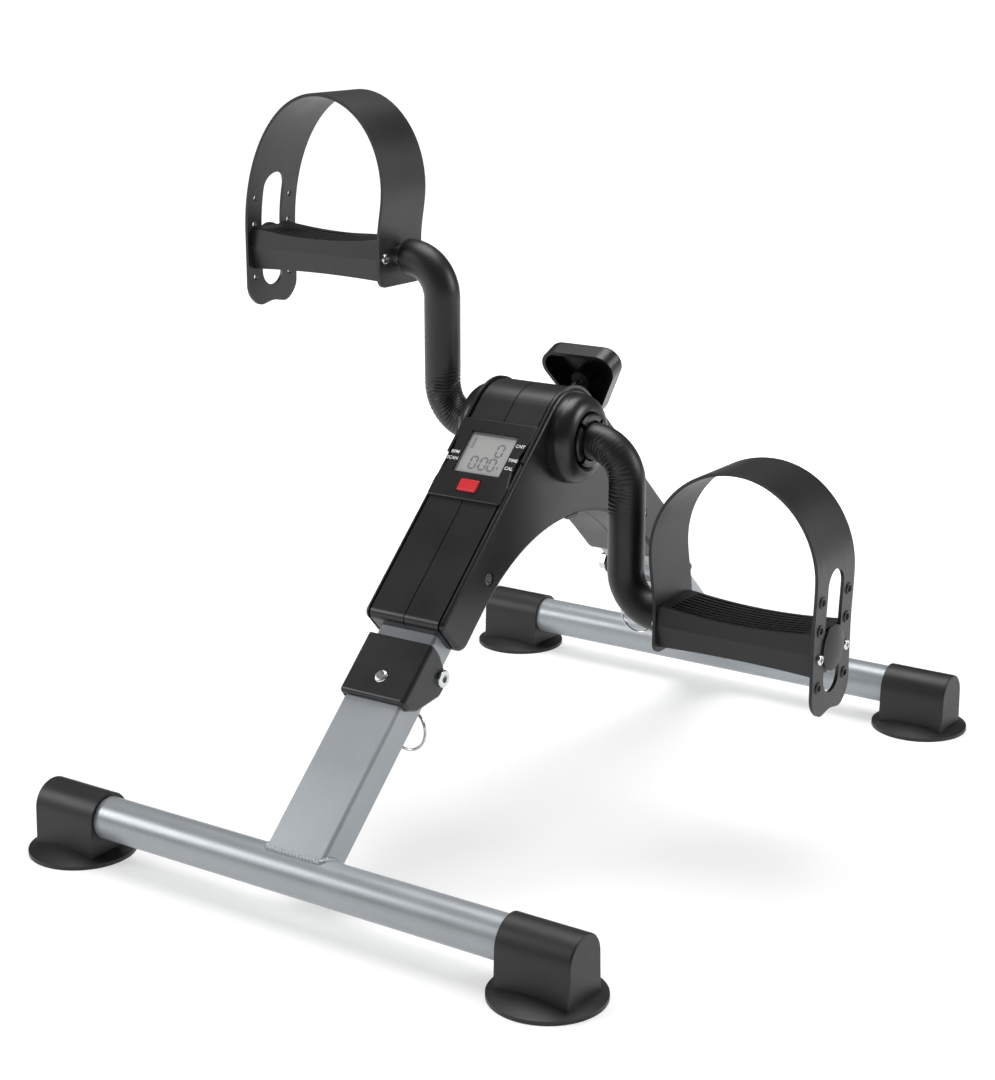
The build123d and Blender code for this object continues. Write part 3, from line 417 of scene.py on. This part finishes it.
EYELET_SINK = 0.3 * MM      # its foot lies this deep in the strap
INNER_END = -18.0 * MM
FOOT_HEIGHT = 8.0 * MM      # below this it lies flat on the pedal's ends
PEDAL_ENDS = np.array([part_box("right_pedal_body")[0].x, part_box("right_pedal_body")[1].x])
# each strap's arch, in x and height over the axle: apex, and where it starts on the inner and outer side
ARCHES = {
    "right": {"apex": (152.0, 98.5), "inner": (96.8, 44.0), "outer": (205.2, 42.0)},
    "left": {"apex": (145.5, 98.2), "inner": (96.5, 42.0), "outer": (204.2, 10.0)},
}


def strap_line(side):
    """The strap's middle line in x and height over the axle, from its slotted tail to its inner end, with
    the running length: a flat leg, a soft S bend, two quarter ellipses, an S bend and a flat leg."""
    arch = {name: np.array(place) * MM for name, place in ARCHES[side].items()}
    apex, inner, outer = arch["apex"], arch["inner"], arch["outer"]
    foot_in, foot_out = PEDAL_ENDS + np.array([-STRAP_THICK, STRAP_THICK]) / 2
    s = np.linspace(0, 1, 300)
    ease = 3 * s ** 2 - 2 * s ** 3
    quarter = s * math.pi / 2
    x = [np.full_like(s, foot_out), foot_out + (outer[0] - foot_out) * ease,
         apex[0] + (outer[0] - apex[0]) * np.cos(quarter), apex[0] - (apex[0] - inner[0]) * np.sin(quarter),
         inner[0] + (foot_in - inner[0]) * ease, np.full_like(s, foot_in)]
    z = [STRAP_TAIL + (FOOT_HEIGHT - STRAP_TAIL) * s, FOOT_HEIGHT + (outer[1] - FOOT_HEIGHT) * s,
         outer[1] + (apex[1] - outer[1]) * np.sin(quarter), inner[1] + (apex[1] - inner[1]) * np.cos(quarter),
         inner[1] + (FOOT_HEIGHT - inner[1]) * s, FOOT_HEIGHT + (INNER_END - FOOT_HEIGHT) * s]
    line = np.stack([np.concatenate(x), np.concatenate(z)], -1)
    steps = np.linalg.norm(np.diff(line, axis=0), axis=1)
    line = line[np.concatenate([[True], steps > 0])]
    return line, np.concatenate([[0], np.cumsum(steps[steps > 0])])


def punch(up, across, centre, column, half_length, radius, margin):
    """Moves grid points round a hole: a square ring of points about the centre goes onto a circle, and the
    points out to the margin follow by a falling share. half_length stretches the hole along the strap."""
    du = up - np.clip(up, centre - half_length, centre + half_length)
    dv = across - column
    square = np.maximum(abs(du), abs(dv))
    distance = np.maximum(np.hypot(du, dv), 1e-9)
    share = np.clip((margin - square) / (margin - radius), 0, 1) * (square > radius * 0.9)
    pull = square / distance
    return du * (pull - 1) * share, dv * (pull - 1) * share, square < radius * 0.999


def strap_grid(length):
    """Places along and across the strap: cells a millimetre wide that close up at its ends, punched."""
    ends = INNER_CORNER * (1 - np.cos(np.linspace(0, math.pi / 2, 12)))
    first = math.ceil(INNER_CORNER / STRAP_CELL)
    middle = np.arange(first, int((length - INNER_CORNER) / STRAP_CELL)) * STRAP_CELL
    rows = np.concatenate([ends[:-1], middle, length - ends[::-1]])
    count = round(STRAP_HALF / STRAP_CELL)
    columns = np.arange(-count, count + 1) * STRAP_CELL
    up, across = np.meshgrid(rows, columns, indexing="ij")
    slot_middle = (SLOT_ENDS[0] + SLOT_ENDS[1]) / 2 - STRAP_TAIL
    holes = [(slot_middle, 0.0, (SLOT_ENDS[1] - SLOT_ENDS[0]) / 2, SLOT_HALF, SLOT_HALF + SLOT_MARGIN)]
    holes += [(row - STRAP_TAIL, side * HOLE_COLUMN, 0.0, HOLE_RADIUS, HOLE_RADIUS + HOLE_MARGIN)
              for row in HOLE_ROWS for side in (-1, 1)]
    moves = [punch(up, across, *hole) for hole in holes]
    gone = np.any([inside for _, _, inside in moves], axis=0)
    return up + sum(du for du, _, _ in moves), across + sum(dv for _, dv, _ in moves), gone


def toe_strap(name, body, side):
    """One wall of PVC: the punched grid laid along the strap's line, its corners rounded, its tail's edge
    a little wavy and its inner half a little slimmer."""
    line, run = strap_line(side)
    up, across, gone = strap_grid(run[-1])
    from_tail = TAIL_CORNER - np.clip(up, 0, TAIL_CORNER)
    from_end = INNER_CORNER - np.clip(run[-1] - up, 0, INNER_CORNER)
    half = STRAP_HALF - TAIL_CORNER + np.sqrt(TAIL_CORNER ** 2 - from_tail ** 2)
    half -= INNER_NARROWING * np.clip((up / run[-1] - 0.45) / 0.2, 0, 1)
    half -= INNER_CORNER - np.sqrt(INNER_CORNER ** 2 - from_end ** 2)
    across = across * half / STRAP_HALF
    wavy = np.clip(1 - up / TAIL_WAVE_REACH, 0, 1) ** 2
    x = np.interp(up, run, line[:, 0])
    z = np.interp(up, run, line[:, 1]) + TAIL_WAVE * wavy * np.cos(across * TAIL_WAVE_RATE)
    points = np.stack([x, across, z + RIGHT_AXLE[2]], -1)
    if side == "left":
        points = left_pedal_side(points)
    faces = grid_faces(*up.shape)
    faces = faces[~gone.reshape(-1)[faces].any(1)]
    used, faces = np.unique(faces, return_inverse=True)
    piece = make_piece(name, points.reshape(-1, 3)[used], faces.reshape(-1, 4), body, STRAP_PVC)
    wall = piece.modifiers.new("wall", "SOLIDIFY")
    wall.thickness = STRAP_THICK
    wall.offset = 0.0
    rim = piece.modifiers.new("rim", "BEVEL")
    rim.width = 0.35 * MM
    rim.segments = 2
    rim.limit_method = "ANGLE"
    rim.angle_limit = math.radians(50)
    rim.harden_normals = True
    return piece


def eyelet(centre, way):
    """Raised ring on a strip that runs along way in x and z: a flat foot and a rounded top, spun about the
    strip's outward direction."""
    mid = (EYELET_OUTER + EYELET_INNER) / 2
    half = (EYELET_OUTER - EYELET_INNER) / 2
    turn = np.linspace(0, math.pi, 9)
    radial = np.concatenate([[mid + half], mid + half * np.cos(turn), [mid - half]])
    out = np.concatenate([[-EYELET_SINK], EYELET_HEIGHT * np.sin(turn) ** 0.6, [-EYELET_SINK]])
    spin = np.linspace(0, 2 * math.pi, 40, endpoint=False)[:, None]
    along = np.array([way[0], 0, way[1]])
    outward = np.array([way[1], 0, -way[0]])
    points = (centre + out[:, None] * outward + (radial * np.cos(spin))[..., None] * np.array([0, 1, 0])
              + (radial * np.sin(spin))[..., None] * along)
    return points.reshape(-1, 3), grid_faces(len(spin), len(out), True, True)[:, ::-1]


def strap_eyelets(name, body, side):
    """Moulded rings round the strap's empty holes, on its outer face."""
    line, run = strap_line(side)
    parts = []
    for row in HOLE_ROWS[:SCREW_ROW] + HOLE_ROWS[SCREW_ROW + 1:]:
        at = np.array([np.interp(row - STRAP_TAIL, run, line[:, i]) for i in (0, 1)])
        ahead = np.array([np.interp(row - STRAP_TAIL + MM, run, line[:, i]) for i in (0, 1)])
        way = (ahead - at) / np.linalg.norm(ahead - at)
        at = at + np.array([way[1], -way[0]]) * STRAP_THICK / 2
        for column in (-HOLE_COLUMN, HOLE_COLUMN):
            parts.append(eyelet(np.array([at[0], column, RIGHT_AXLE[2] + at[1]]), way))
    points, faces = stack(parts)
    if side == "left":
        points = left_pedal_side(points)
        faces = faces[:, ::-1]
    return make_piece(name, points, faces, body, STRAP_PVC)


def build_straps():
    for side in ("right", "left"):
        strap = toe_strap(f"{side}_toe_strap", f"{side}_pedal", side)
        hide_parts(f"{side}_pedal_strap")
        strap_eyelets(f"{side}_strap_eyelets", f"{side}_pedal", side)


# ---- console markings -------------------------------------------------------------------------
def on_console(x, up, out):
    """Points of the front slope from x, the way up it and the height over the display's middle."""
    x, up, out = np.broadcast_arrays(np.asarray(x, float), up, out)
    return LCD_CENTRE + x[..., None] * [1, 0, 0] + up[..., None] * FACE_UP + out[..., None] * FACE_OUT


def bar(x0, up0, x1, up1, width):
    """One display segment: a long hexagon between two points of the slope, as (points, faces)."""
    start = np.array([x0, up0])
    end = np.array([x1, up1])
    way = (end - start) / np.linalg.norm(end - start)
    side = np.array([-way[1], way[0]]) * width / 2
    nib = way * width / 2
    flat = np.array([start, start + nib + side, end - nib + side, end, end - nib - side, start + nib - side])
    out = LCD_HALF_DEPTH + 0.02 * MM
    return on_console(flat[:, 0], flat[:, 1], out), np.array([[0, 5, 4, 3], [0, 3, 2, 1]])


def nought(x, up, width, height, line):
    """The six segments of a nought."""
    gap = 0.12 * line
    left = x - width / 2
    right = x + width / 2
    parts = []
    for end in (up - height / 2, up + height / 2):
        parts.append(bar(left + gap, end, right - gap, end, line))
    for low, high in ((up - height / 2, up), (up, up + height / 2)):
        for edge in (left, right):
            parts.append(bar(edge, low + gap, edge, high - gap, line))
    return parts


def build_display():
    """Digits and small marks of the display: a single nought above, a clock of noughts below."""
    parts = nought(7.6 * MM, 4.1 * MM, 4.2 * MM, 8.4 * MM, 1.3 * MM)
    for x in (-6.6, 0.4, 6.6):
        parts += nought(x * MM, -6.2 * MM, 4.2 * MM, 8.4 * MM, 1.3 * MM)
    for up in (-8.2, -4.4):
        parts.append(bar(-2.9 * MM, up * MM, -1.9 * MM, up * MM, 1.0 * MM))
    for i in range(6):
        parts.append(bar(-14.2 * MM, (10.6 - 1.3 * i) * MM, -11.6 * MM, (10.6 - 1.3 * i) * MM, 0.8 * MM))
    parts.append(bar(10.2 * MM, -7.8 * MM, 12.0 * MM, -7.8 * MM, 1.6 * MM))
    points, faces = stack(parts)
    make_piece("lcd_digits", points, faces, "root", LCD_SEGMENTS, smooth=False)


# word, and its middle across and up the slope in millimetres
LABELS = (("CNT", 21.0, 8.2), ("TIME", 20.6, -2.1), ("CAL", 20.4, -7.9), ("RPM", -20.7, -1.8),
          ("SCAN", -20.6, -6.3))


def build_labels():
    """Small printed words beside the display, as flat meshes that lie on the bezel."""
    parts = []
    for words, x, up in LABELS:
        text = bpy.data.curves.new("label", "FONT")
        text.body = words
        text.size = 3.1 * MM
        text.align_x = "CENTER"
        text.align_y = "CENTER"
        text.offset = 0.06 * MM
        holder = bpy.data.objects.new("label", text)
        bpy.context.scene.collection.objects.link(holder)
        bpy.context.view_layer.update()
        mesh = bpy.data.meshes.new_from_object(holder.evaluated_get(bpy.context.evaluated_depsgraph_get()))
        flat = np.zeros(len(mesh.vertices) * 3)
        mesh.vertices.foreach_get("co", flat)
        flat = flat.reshape(-1, 3)
        points = on_console(flat[:, 0] + x * MM, flat[:, 1] + up * MM, BEZEL_TOP + 0.03 * MM)
        mesh.calc_loop_triangles()
        corners = np.zeros(len(mesh.loop_triangles) * 3, int)
        mesh.loop_triangles.foreach_get("vertices", corners)
        parts.append((points, corners.reshape(-1, 3)))
        bpy.data.objects.remove(holder)
        bpy.data.meshes.remove(mesh)
    points, faces = stack(parts)
    make_piece("console_labels", points, faces, "root", WHITE_INK, smooth=False)


# ---- weld beads -------------------------------------------------------------------------------
LEG_HALF = np.array([20.0, 10.0]) * MM
LEG_CORNER = 2.2 * MM
BEAD_RADIUS = 1.7 * MM
BEAD_DROP = 2.4 * MM        # length of one laid drop
SIDE_SHARE = 0.3            # part of each quarter of the outline that is straight, at either end of it


def weld_bead(name, body, rear):
    """Bead where a leg meets its base bar: a small circle carried round the leg's rounded rectangle, each
    point slid down the leg onto the bar's cylinder; its radius ripples like laid drops."""
    low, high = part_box("front_base_tube")
    bar_centre = np.array((low + high) / 2)
    bar_radius = (high.z - low.z) / 2
    turn = np.linspace(0, 2 * math.pi, 400, endpoint=False)
    # a rounded rectangle as four quarter circles joined by straights
    quarter = np.floor(turn / (math.pi / 2))
    within = turn / (math.pi / 2) - quarter
    arc = np.clip((within - SIDE_SHARE) / (1 - 2 * SIDE_SHARE), 0, 1) * math.pi / 2 + quarter * math.pi / 2
    signs = np.stack([np.where((quarter == 0) | (quarter == 3), 1, -1), np.where(quarter < 2, 1, -1)], -1)
    middles = np.array([[1, 0], [0, 1], [-1, 0], [0, -1]])
    start = middles[quarter.astype(int)] * LEG_HALF
    finish = middles[(quarter.astype(int) + 1) % 4] * LEG_HALF
    bend_in = signs * (LEG_HALF - LEG_CORNER) + LEG_CORNER * np.stack([np.cos(arc), np.sin(arc)], -1)
    lead = np.clip(within / SIDE_SHARE, 0, 1)[:, None]
    trail = np.clip((within - 1 + SIDE_SHARE) / SIDE_SHARE, 0, 1)[:, None]
    leaving = np.where(within[:, None] > 1 - SIDE_SHARE, bend_in + (finish - bend_in) * trail, bend_in)
    section = np.where(within[:, None] < SIDE_SHARE, start + (bend_in - start) * lead, leaving)
    x = section[:, 0]
    out = TUBE_FACE - LEG_HALF[1] + section[:, 1]
    from_bar = LCD_CENTRE + out[:, None] * FACE_OUT - bar_centre
    across = from_bar @ FACE_OUT
    up = np.sqrt(np.clip(bar_radius ** 2 - across ** 2, 0, None)) - from_bar @ FACE_UP
    centre = LCD_CENTRE + x[:, None] * [1, 0, 0] + out[:, None] * FACE_OUT + up[:, None] * FACE_UP
    way = np.roll(centre, -1, 0) - np.roll(centre, 1, 0)
    way /= np.linalg.norm(way, axis=1)[:, None]
    outward = np.cross(way, FACE_UP)
    outward /= np.linalg.norm(outward, axis=1)[:, None]
    upward = np.cross(outward, way)
    steps = np.linalg.norm(np.roll(centre, -1, 0) - centre, axis=1)
    ripple = 1 + 0.10 * np.sin(2 * math.pi * np.cumsum(steps) / BEAD_DROP)
    radius = BEAD_RADIUS * ripple
    spin = np.linspace(0, 2 * math.pi, 14, endpoint=False)
    points = centre[:, None] + radius[:, None, None] * (np.cos(spin)[None, :, None] * outward[:, None]
                                                       + np.sin(spin)[None, :, None] * upward[:, None])
    faces = grid_faces(len(centre), len(spin), True, True)[:, ::-1]
    if rear:
        points = points * [1, -1, 1]
        faces = faces[:, ::-1]
    return make_piece(name, points, faces, body, MATERIALS["grey_paint"])


# ---- studio ---------------------------------------------------------------------------------
def build_floor():
    """White sweep: a disc that glows, more so away from the exerciser, so that it stays white round the
    soft shadows."""
    rings = np.array([0.0, 0.5, 1.0, 2.0, 4.0, 8.0])
    spin = np.linspace(0, 2 * math.pi, 48, endpoint=False)
    points = np.stack([rings[:, None] * np.cos(spin), rings[:, None] * np.sin(spin), np.zeros((6, 48))], -1)
    mesh = bpy.data.meshes.new("floor")
    mesh.from_pydata(points.reshape(-1, 3).tolist(), [], grid_faces(6, 48, False, True).tolist())
    floor = bpy.data.objects.new("floor", mesh)
    bpy.context.scene.collection.objects.link(floor)
    material, tree, shader = blank("sweep_white", "#c8c8c8", 0.9, Emission_Color=linear("#ffffff"))
    reach = add(tree, "VectorMath", {0: add(tree, "TexCoord").outputs["Object"]}, operation="LENGTH")
    glow = add(tree, "MapRange", {"Value": reach.outputs["Value"], "From Min": 0.42, "From Max": 0.85,
                                  "To Min": 0.50, "To Max": 1.0}, interpolation_type="SMOOTHSTEP")
    tree.links.new(glow.outputs["Result"], shader.inputs["Emission Strength"])
    mesh.materials.append(material)


def build_dome():
    """White surround that only the camera sees."""
    bpy.ops.mesh.primitive_uv_sphere_add(segments=48, ring_count=24, radius=9.0)
    dome = bpy.context.object
    dome.name = "surround"
    material, tree, _ = blank("surround_white", "#000000", 1.0)
    glow = add(tree, "Emission", {"Color": (1, 1, 1, 1), "Strength": 1.0})
    tree.links.new(glow.outputs["Emission"], tree.nodes["Material Output"].inputs["Surface"])
    dome.data.materials.append(material)
    dome.visible_diffuse = False
    dome.visible_glossy = False
    dome.visible_transmission = False
    dome.visible_shadow = False


def soft_light(name, place, target, size, power):
    """A square softbox at place, turned to target."""
    lamp = bpy.data.lights.new(name, "AREA")
    lamp.shape = "SQUARE"
    lamp.size = size
    lamp.energy = power
    holder = bpy.data.objects.new(name, lamp)
    bpy.context.scene.collection.objects.link(holder)
    holder.location = place
    holder.rotation_mode = "QUATERNION"
    holder.rotation_quaternion = (Vector(target) - Vector(place)).to_track_quat("-Z", "Y")


def build_studio():
    world = bpy.data.worlds.new("studio")
    bpy.context.scene.world = world
    world.use_nodes = True
    world.node_tree.nodes["Background"].inputs["Color"].default_value = (1, 1, 1, 1)
    world.node_tree.nodes["Background"].inputs["Strength"].default_value = 0.12
    middle = (0, 0, 0.2)
    soft_light("overhead", (-0.2, 0.3, 1.9), middle, 1.3, 30)
    soft_light("left_front", (-1.6, -1.3, 1.2), middle, 0.9, 20)
    soft_light("right_rear", (1.7, 1.0, 1.1), middle, 0.8, 18)
    bpy.context.scene.view_settings.view_transform = "Standard"
    build_floor()
    build_dome()


CAMERA_PLACE = (0.6946, -1.0643, 0.5186)
CAMERA_AIM = (0.1266, -0.2256, 0.2338)
CAMERA_LENS_MM = 70.9


def build_camera():
    camera = bpy.data.cameras.new("camera")
    camera.sensor_width = 36
    camera.lens = CAMERA_LENS_MM
    holder = bpy.data.objects.new("camera", camera)
    bpy.context.scene.collection.objects.link(holder)
    holder.location = CAMERA_PLACE
    holder.rotation_mode = "QUATERNION"
    holder.rotation_quaternion = (Vector(CAMERA_AIM) - holder.location).to_track_quat("-Z", "Y")
    bpy.context.scene.camera = holder


finish_cad_nodes()
build_sleeves()
build_straps()
build_display()
build_labels()
weld_bead("front_weld_bead", "front_leg", False)
weld_bead("rear_weld_bead", "rear_leg", True)
build_studio()
build_camera()
